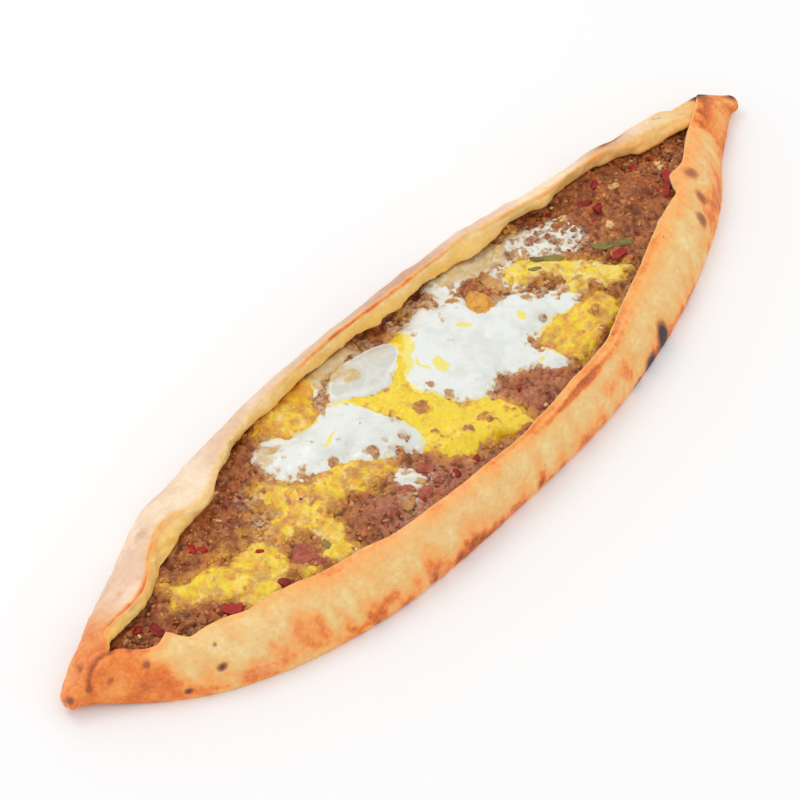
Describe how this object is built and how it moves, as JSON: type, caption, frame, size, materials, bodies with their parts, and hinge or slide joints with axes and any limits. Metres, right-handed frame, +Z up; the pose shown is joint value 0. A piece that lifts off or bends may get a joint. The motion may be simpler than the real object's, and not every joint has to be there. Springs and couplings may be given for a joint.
{
  "type": "turkish pide",
  "caption": "Long boat-shaped baked flatbread with folded-up edges and pinched tips, open on top and filled with minced meat, cooked egg and bits of pepper.",
  "frame": {"origin": "under the middle of the piece, on the surface it rests on", "axes": "+X along the length to the far tip, +Y to the back wall, +Z up"},
  "size_m": [0.42, 0.1117, 0.0229],
  "materials": {
    "baked_dough": "dry baked crust, floury in places, brown spots",
    "minced_meat": "moist lumpy cooked mince",
    "egg_white": "smooth moist cooked egg white",
    "egg_yolk": "moist cooked yolk",
    "green_pepper": "soft cooked pepper skin",
    "red_pepper": "soft cooked pepper skin",
    "tomato": "moist cooked tomato"
  },
  "bodies": {
    "root": {"bread": "baked_dough", "filling": "minced_meat", "egg_white_far": "egg_white", "egg_white_near": "egg_white", "egg_white_skin": "egg_white", "egg_yolk_middle": "egg_yolk", "egg_yolk_edge": "egg_yolk", "egg_yolk_far": "egg_yolk", "egg_yolk_stripe": "egg_yolk", "egg_yolk_lower": "egg_yolk", "egg_yolk_near": "egg_yolk", "pepper_green_far": "green_pepper", "pepper_green_inner": "green_pepper", "pepper_red_near": "red_pepper", "pepper_red_far": "red_pepper", "pepper_red_side": "red_pepper", "tomato_near": "tomato", "tomato_middle": "tomato", "tomato_front": "tomato"}
  },
  "joints": []
}
